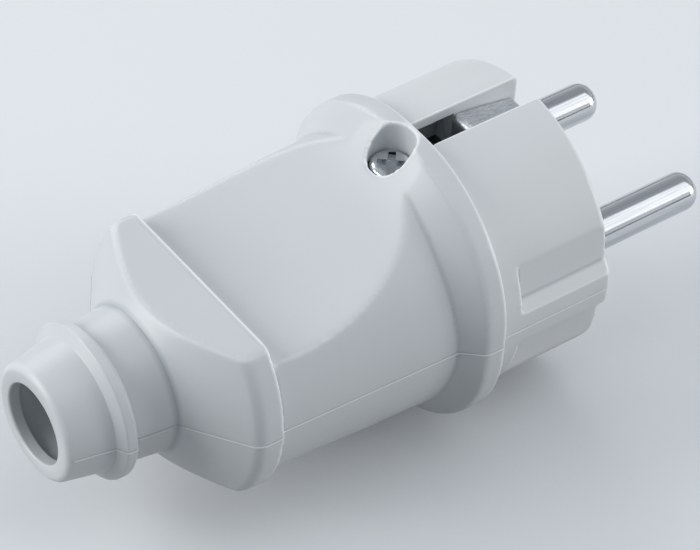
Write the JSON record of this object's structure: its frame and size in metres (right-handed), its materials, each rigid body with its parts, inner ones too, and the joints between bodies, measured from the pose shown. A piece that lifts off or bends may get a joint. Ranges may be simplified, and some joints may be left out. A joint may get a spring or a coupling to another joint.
{
  "type": "electrical plug",
  "caption": "Rewirable mains plug with round pins, side earth contacts, a scooped grip behind a squarish flange, and a straight cord outlet.",
  "frame": {"origin": "centre of the engagement face, midway between the pins", "axes": "+X along the pins towards their tips, +Y across them, +Z towards the upper scoop, hood screw and earth contact"},
  "size_m": [0.0867, 0.0382, 0.0382],
  "materials": {
    "hood_plastic": "satin light grey thermoplastic",
    "insert_plastic": "satin light grey thermoplastic",
    "inner_plastic": "plain natural thermoplastic, hidden",
    "pin_nickel": "bright nickel-plated brass",
    "strip_nickel": "dull nickel-plated spring strip",
    "screw_zinc": "zinc-plated steel"
  },
  "bodies": {
    "root": {"hood": "hood_plastic", "front_insert": "insert_plastic", "rear_carrier": "inner_plastic", "pin_left": "pin_nickel", "pin_right": "pin_nickel", "pin_screw_left": "screw_zinc", "pin_screw_right": "screw_zinc", "earth_strip": "strip_nickel", "earth_washer": "screw_zinc", "earth_screw": "screw_zinc", "earth_nut": "screw_zinc", "carrier_screw_upper": "screw_zinc", "carrier_screw_lower": "screw_zinc", "cord_clamp": "inner_plastic", "clamp_screw_left": "screw_zinc", "clamp_screw_right": "screw_zinc", "hood_screw_top": "screw_zinc", "hood_screw_bottom": "screw_zinc", "hood_nut_top": "screw_zinc", "hood_nut_bottom": "screw_zinc"}
  },
  "joints": []
}
